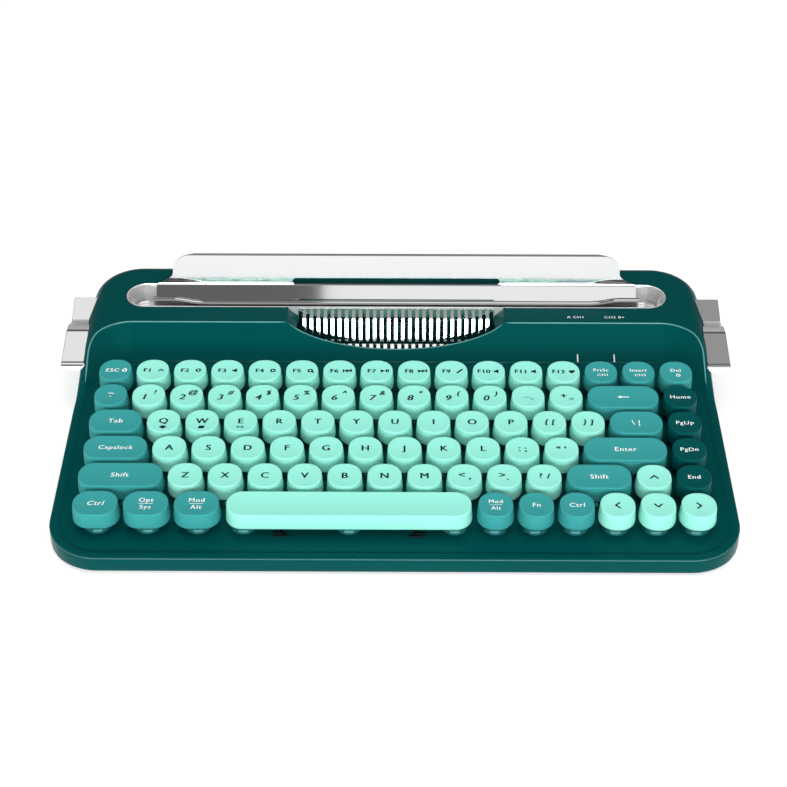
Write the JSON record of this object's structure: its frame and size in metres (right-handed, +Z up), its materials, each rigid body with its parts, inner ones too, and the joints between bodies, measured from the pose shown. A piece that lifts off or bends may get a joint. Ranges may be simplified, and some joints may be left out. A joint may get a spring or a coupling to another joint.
{
  "type": "typewriter-style keyboard",
  "caption": "Typewriter-style keyboard: teal case with a raised rear hump, chrome tablet tray and carriage ends, type-bar comb and rounded keys that travel.",
  "frame": {"origin": "centre of the overall box at the level the rubber feet rest on", "axes": "+X to the right as the user sits, +Y away from the user, +Z up"},
  "size_m": [0.347, 0.212, 0.0568],
  "materials": {
    "case": "smooth satin-gloss dark teal",
    "mint_key": "smooth matte mint",
    "teal_key": "smooth matte mid teal",
    "dark_key": "smooth matte dark teal",
    "chrome": "mirror-bright plating",
    "black_plastic": "satin black",
    "circuit": "green solder mask",
    "steel": "plain sheet steel",
    "rubber": "matte black",
    "battery": "grey foil pouch"
  },
  "bodies": {
    "case": {"top_case": "case", "bottom_case": "case", "switch_plate": "steel", "circuit_board": "circuit", "battery_pack": "battery", "tray_liner": "chrome", "paper_rest": "chrome", "typebar_comb": "chrome", "carriage_end_left": "chrome", "carriage_end_right": "chrome", "space_stabilizer": "black_plastic", "foot_front": "rubber", "foot_rear": "rubber"},
    "power_slider": {"power_switch": "black_plastic"},
    "key_esc": {"key_esc": "teal_key"},
    "key_backspace": {"key_backspace": "teal_key"},
    "key_tab": {"key_tab": "teal_key"},
    "key_caps": {"key_caps": "teal_key"},
    "key_enter": {"key_enter": "teal_key"},
    "key_shift_left": {"key_shift_left": "teal_key"},
    "key_shift_right": {"key_shift_right": "teal_key"},
    "key_space": {"key_space": "mint_key"},
    "key_q": {"key_q": "mint_key"},
    "key_w": {"key_w": "mint_key"},
    "key_e": {"key_e": "mint_key"},
    "key_r": {"key_r": "mint_key"},
    "key_t": {"key_t": "mint_key"},
    "key_y": {"key_y": "mint_key"},
    "key_u": {"key_u": "mint_key"},
    "key_i": {"key_i": "mint_key"},
    "key_o": {"key_o": "mint_key"},
    "key_p": {"key_p": "mint_key"},
    "key_a": {"key_a": "mint_key"},
    "key_s": {"key_s": "mint_key"},
    "key_d": {"key_d": "mint_key"},
    "key_f": {"key_f": "mint_key"},
    "key_g": {"key_g": "mint_key"},
    "key_h": {"key_h": "mint_key"},
    "key_j": {"key_j": "mint_key"},
    "key_k": {"key_k": "mint_key"},
    "key_l": {"key_l": "mint_key"},
    "key_z": {"key_z": "mint_key"},
    "key_x": {"key_x": "mint_key"},
    "key_c": {"key_c": "mint_key"},
    "key_v": {"key_v": "mint_key"},
    "key_b": {"key_b": "mint_key"},
    "key_n": {"key_n": "mint_key"},
    "key_m": {"key_m": "mint_key"},
    "keys_f1_f6": {"keys_f1_f6": "mint_key"},
    "keys_f7_f12": {"keys_f7_f12": "mint_key"},
    "keys_print_insert_delete": {"keys_print_insert_delete": "teal_key"},
    "keys_tilde_to_5": {"keys_tilde_to_5": "mint_key"},
    "keys_6_to_equals": {"keys_6_to_equals": "mint_key"},
    "keys_brackets": {"keys_brackets": "mint_key"},
    "keys_semicolon_quote": {"keys_semicolon_quote": "mint_key"},
    "keys_comma_period_slash": {"keys_comma_period_slash": "mint_key"},
    "keys_home_end_column": {"keys_home_end_column": "dark_key"},
    "keys_modifiers_left": {"keys_modifiers_left": "teal_key"},
    "keys_modifiers_right": {"keys_modifiers_right": "teal_key"},
    "keys_arrows": {"keys_arrows": "mint_key"}
  },
  "joints": [
    {"name": "power_slide", "type": "slide", "parent": "case", "child": "power_slider", "axis": [1, 0, 0], "range_m": [0, 0.004]},
    {"name": "key_esc_press", "type": "slide", "parent": "case", "child": "key_esc", "axis": [0, 0.0958, -0.9954], "range_m": [0, 0.0038], "stiffness_N_per_m": 62, "springref_m": -0.0056},
    {"name": "key_backspace_press", "type": "slide", "parent": "case", "child": "key_backspace", "axis": [0, 0.0958, -0.9954], "range_m": [0, 0.0038], "stiffness_N_per_m": 62, "springref_m": -0.0056},
    {"name": "key_tab_press", "type": "slide", "parent": "case", "child": "key_tab", "axis": [0, 0.0958, -0.9954], "range_m": [0, 0.0038], "stiffness_N_per_m": 62, "springref_m": -0.0056},
    {"name": "key_caps_press", "type": "slide", "parent": "case", "child": "key_caps", "axis": [0, 0.0958, -0.9954], "range_m": [0, 0.0038], "stiffness_N_per_m": 62, "springref_m": -0.0056},
    {"name": "key_enter_press", "type": "slide", "parent": "case", "child": "key_enter", "axis": [0, 0.0958, -0.9954], "range_m": [0, 0.0038], "stiffness_N_per_m": 62, "springref_m": -0.0056},
    {"name": "key_shift_left_press", "type": "slide", "parent": "case", "child": "key_shift_left", "axis": [0, 0.0958, -0.9954], "range_m": [0, 0.0038], "stiffness_N_per_m": 62, "springref_m": -0.0056},
    {"name": "key_shift_right_press", "type": "slide", "parent": "case", "child": "key_shift_right", "axis": [0, 0.0958, -0.9954], "range_m": [0, 0.0038], "stiffness_N_per_m": 62, "springref_m": -0.0056},
    {"name": "key_space_press", "type": "slide", "parent": "case", "child": "key_space", "axis": [0, 0.0958, -0.9954], "range_m": [0, 0.0038], "stiffness_N_per_m": 62, "springref_m": -0.0056},
    {"name": "key_q_press", "type": "slide", "parent": "case", "child": "key_q", "axis": [0, 0.0958, -0.9954], "range_m": [0, 0.0038], "stiffness_N_per_m": 62, "springref_m": -0.0056},
    {"name": "key_w_press", "type": "slide", "parent": "case", "child": "key_w", "axis": [0, 0.0958, -0.9954], "range_m": [0, 0.0038], "stiffness_N_per_m": 62, "springref_m": -0.0056},
    {"name": "key_e_press", "type": "slide", "parent": "case", "child": "key_e", "axis": [0, 0.0958, -0.9954], "range_m": [0, 0.0038], "stiffness_N_per_m": 62, "springref_m": -0.0056},
    {"name": "key_r_press", "type": "slide", "parent": "case", "child": "key_r", "axis": [0, 0.0958, -0.9954], "range_m": [0, 0.0038], "stiffness_N_per_m": 62, "springref_m": -0.0056},
    {"name": "key_t_press", "type": "slide", "parent": "case", "child": "key_t", "axis": [0, 0.0958, -0.9954], "range_m": [0, 0.0038], "stiffness_N_per_m": 62, "springref_m": -0.0056},
    {"name": "key_y_press", "type": "slide", "parent": "case", "child": "key_y", "axis": [0, 0.0958, -0.9954], "range_m": [0, 0.0038], "stiffness_N_per_m": 62, "springref_m": -0.0056},
    {"name": "key_u_press", "type": "slide", "parent": "case", "child": "key_u", "axis": [0, 0.0958, -0.9954], "range_m": [0, 0.0038], "stiffness_N_per_m": 62, "springref_m": -0.0056},
    {"name": "key_i_press", "type": "slide", "parent": "case", "child": "key_i", "axis": [0, 0.0958, -0.9954], "range_m": [0, 0.0038], "stiffness_N_per_m": 62, "springref_m": -0.0056},
    {"name": "key_o_press", "type": "slide", "parent": "case", "child": "key_o", "axis": [0, 0.0958, -0.9954], "range_m": [0, 0.0038], "stiffness_N_per_m": 62, "springref_m": -0.0056},
    {"name": "key_p_press", "type": "slide", "parent": "case", "child": "key_p", "axis": [0, 0.0958, -0.9954], "range_m": [0, 0.0038], "stiffness_N_per_m": 62, "springref_m": -0.0056},
    {"name": "key_a_press", "type": "slide", "parent": "case", "child": "key_a", "axis": [0, 0.0958, -0.9954], "range_m": [0, 0.0038], "stiffness_N_per_m": 62, "springref_m": -0.0056},
    {"name": "key_s_press", "type": "slide", "parent": "case", "child": "key_s", "axis": [0, 0.0958, -0.9954], "range_m": [0, 0.0038], "stiffness_N_per_m": 62, "springref_m": -0.0056},
    {"name": "key_d_press", "type": "slide", "parent": "case", "child": "key_d", "axis": [0, 0.0958, -0.9954], "range_m": [0, 0.0038], "stiffness_N_per_m": 62, "springref_m": -0.0056},
    {"name": "key_f_press", "type": "slide", "parent": "case", "child": "key_f", "axis": [0, 0.0958, -0.9954], "range_m": [0, 0.0038], "stiffness_N_per_m": 62, "springref_m": -0.0056},
    {"name": "key_g_press", "type": "slide", "parent": "case", "child": "key_g", "axis": [0, 0.0958, -0.9954], "range_m": [0, 0.0038], "stiffness_N_per_m": 62, "springref_m": -0.0056},
    {"name": "key_h_press", "type": "slide", "parent": "case", "child": "key_h", "axis": [0, 0.0958, -0.9954], "range_m": [0, 0.0038], "stiffness_N_per_m": 62, "springref_m": -0.0056},
    {"name": "key_j_press", "type": "slide", "parent": "case", "child": "key_j", "axis": [0, 0.0958, -0.9954], "range_m": [0, 0.0038], "stiffness_N_per_m": 62, "springref_m": -0.0056},
    {"name": "key_k_press", "type": "slide", "parent": "case", "child": "key_k", "axis": [0, 0.0958, -0.9954], "range_m": [0, 0.0038], "stiffness_N_per_m": 62, "springref_m": -0.0056},
    {"name": "key_l_press", "type": "slide", "parent": "case", "child": "key_l", "axis": [0, 0.0958, -0.9954], "range_m": [0, 0.0038], "stiffness_N_per_m": 62, "springref_m": -0.0056},
    {"name": "key_z_press", "type": "slide", "parent": "case", "child": "key_z", "axis": [0, 0.0958, -0.9954], "range_m": [0, 0.0038], "stiffness_N_per_m": 62, "springref_m": -0.0056},
    {"name": "key_x_press", "type": "slide", "parent": "case", "child": "key_x", "axis": [0, 0.0958, -0.9954], "range_m": [0, 0.0038], "stiffness_N_per_m": 62, "springref_m": -0.0056},
    {"name": "key_c_press", "type": "slide", "parent": "case", "child": "key_c", "axis": [0, 0.0958, -0.9954], "range_m": [0, 0.0038], "stiffness_N_per_m": 62, "springref_m": -0.0056},
    {"name": "key_v_press", "type": "slide", "parent": "case", "child": "key_v", "axis": [0, 0.0958, -0.9954], "range_m": [0, 0.0038], "stiffness_N_per_m": 62, "springref_m": -0.0056},
    {"name": "key_b_press", "type": "slide", "parent": "case", "child": "key_b", "axis": [0, 0.0958, -0.9954], "range_m": [0, 0.0038], "stiffness_N_per_m": 62, "springref_m": -0.0056},
    {"name": "key_n_press", "type": "slide", "parent": "case", "child": "key_n", "axis": [0, 0.0958, -0.9954], "range_m": [0, 0.0038], "stiffness_N_per_m": 62, "springref_m": -0.0056},
    {"name": "key_m_press", "type": "slide", "parent": "case", "child": "key_m", "axis": [0, 0.0958, -0.9954], "range_m": [0, 0.0038], "stiffness_N_per_m": 62, "springref_m": -0.0056},
    {"name": "keys_f1_f6_press", "type": "slide", "parent": "case", "child": "keys_f1_f6", "axis": [0, 0.0958, -0.9954], "range_m": [0, 0.0038], "stiffness_N_per_m": 372, "springref_m": -0.0056},
    {"name": "keys_f7_f12_press", "type": "slide", "parent": "case", "child": "keys_f7_f12", "axis": [0, 0.0958, -0.9954], "range_m": [0, 0.0038], "stiffness_N_per_m": 372, "springref_m": -0.0056},
    {"name": "keys_print_insert_delete_press", "type": "slide", "parent": "case", "child": "keys_print_insert_delete", "axis": [0, 0.0958, -0.9954], "range_m": [0, 0.0038], "stiffness_N_per_m": 186, "springref_m": -0.0056},
    {"name": "keys_tilde_to_5_press", "type": "slide", "parent": "case", "child": "keys_tilde_to_5", "axis": [0, 0.0958, -0.9954], "range_m": [0, 0.0038], "stiffness_N_per_m": 372, "springref_m": -0.0056},
    {"name": "keys_6_to_equals_press", "type": "slide", "parent": "case", "child": "keys_6_to_equals", "axis": [0, 0.0958, -0.9954], "range_m": [0, 0.0038], "stiffness_N_per_m": 434, "springref_m": -0.0056},
    {"name": "keys_brackets_press", "type": "slide", "parent": "case", "child": "keys_brackets", "axis": [0, 0.0958, -0.9954], "range_m": [0, 0.0038], "stiffness_N_per_m": 186, "springref_m": -0.0056},
    {"name": "keys_semicolon_quote_press", "type": "slide", "parent": "case", "child": "keys_semicolon_quote", "axis": [0, 0.0958, -0.9954], "range_m": [0, 0.0038], "stiffness_N_per_m": 124, "springref_m": -0.0056},
    {"name": "keys_comma_period_slash_press", "type": "slide", "parent": "case", "child": "keys_comma_period_slash", "axis": [0, 0.0958, -0.9954], "range_m": [0, 0.0038], "stiffness_N_per_m": 186, "springref_m": -0.0056},
    {"name": "keys_home_end_column_press", "type": "slide", "parent": "case", "child": "keys_home_end_column", "axis": [0, 0.0958, -0.9954], "range_m": [0, 0.0038], "stiffness_N_per_m": 248, "springref_m": -0.0056},
    {"name": "keys_modifiers_left_press", "type": "slide", "parent": "case", "child": "keys_modifiers_left", "axis": [0, 0.0958, -0.9954], "range_m": [0, 0.0038], "stiffness_N_per_m": 186, "springref_m": -0.0056},
    {"name": "keys_modifiers_right_press", "type": "slide", "parent": "case", "child": "keys_modifiers_right", "axis": [0, 0.0958, -0.9954], "range_m": [0, 0.0038], "stiffness_N_per_m": 186, "springref_m": -0.0056},
    {"name": "keys_arrows_press", "type": "slide", "parent": "case", "child": "keys_arrows", "axis": [0, 0.0958, -0.9954], "range_m": [0, 0.0038], "stiffness_N_per_m": 248, "springref_m": -0.0056}
  ]
}
